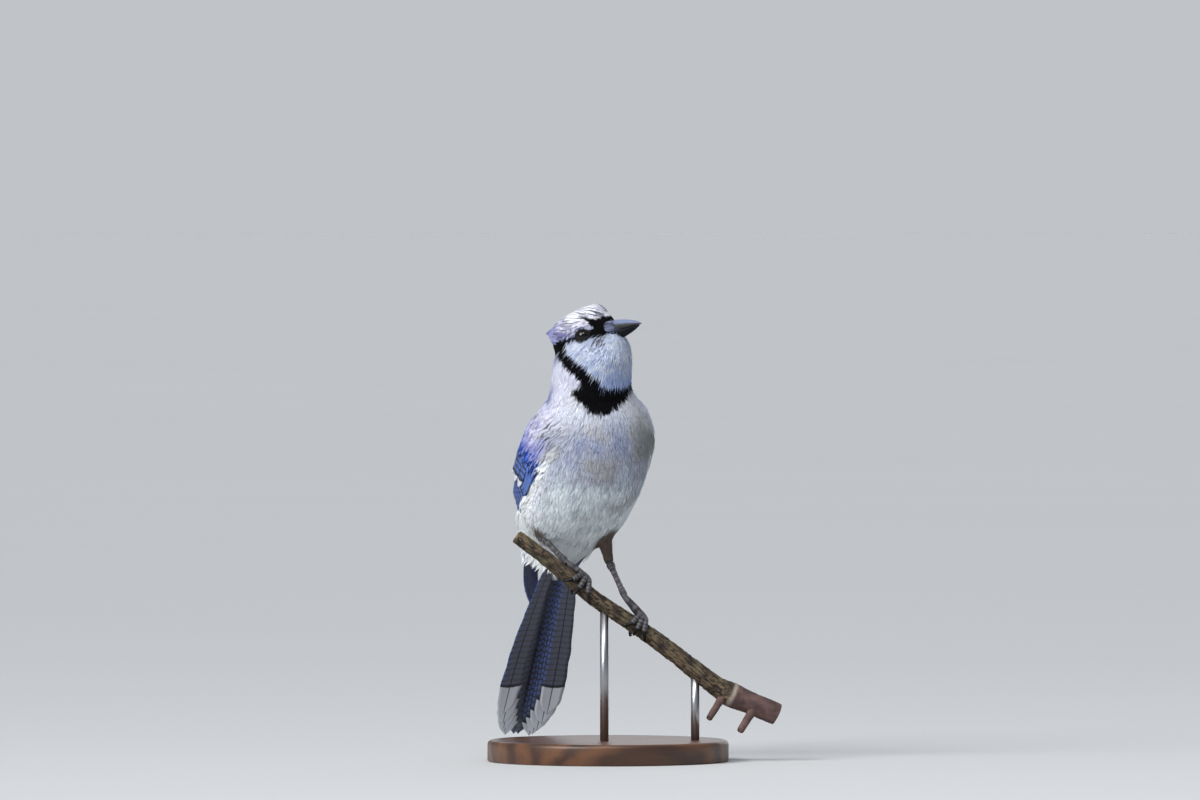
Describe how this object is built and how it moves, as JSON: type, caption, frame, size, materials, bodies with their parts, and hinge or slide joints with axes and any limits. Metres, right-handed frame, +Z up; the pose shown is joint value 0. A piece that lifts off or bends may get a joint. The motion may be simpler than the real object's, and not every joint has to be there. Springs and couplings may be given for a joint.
{
  "type": "blue jay figure on a display stand",
  "caption": "Life-size still model of a crested blue jay that grips a short cut length of branch, held by two rods on a round base.",
  "frame": {"origin": "centre of the round base's underside, on the surface that the stand rests on", "axes": "+Z up, the bird's body faces -Y, its left side is +X and its tail points to +Y and down"},
  "size_m": [0.1578, 0.1664, 0.2563],
  "materials": {
    "head_feathers": "matte",
    "neck_feathers": "matte",
    "body_feathers": "matte",
    "flight_feathers": "satin",
    "leg_feathers": "matte",
    "bill": "satin",
    "eye": "gloss",
    "leg_scales": "matte",
    "claw": "satin",
    "bark": "rough",
    "dark_wood": "satin",
    "steel": "brushed"
  },
  "bodies": {
    "root": {"head": "head_feathers", "neck": "neck_feathers", "torso": "body_feathers", "bill_upper": "bill", "bill_lower": "bill", "eye_left": "eye", "eye_right": "eye", "tail": "flight_feathers", "wing_left": "flight_feathers", "wing_right": "flight_feathers", "thigh_left": "leg_feathers", "thigh_right": "leg_feathers", "tarsus_left": "leg_scales", "tarsus_right": "leg_scales", "foot_left": "leg_scales", "foot_right": "leg_scales", "perch_branch": "bark", "stand_base": "dark_wood", "stand_rod_middle": "steel", "stand_rod_end": "steel", "claw_left_1": "claw", "claw_left_2": "claw", "claw_left_3": "claw", "claw_left_4": "claw", "claw_right_1": "claw", "claw_right_2": "claw", "claw_right_3": "claw", "claw_right_4": "claw"}
  },
  "joints": []
}
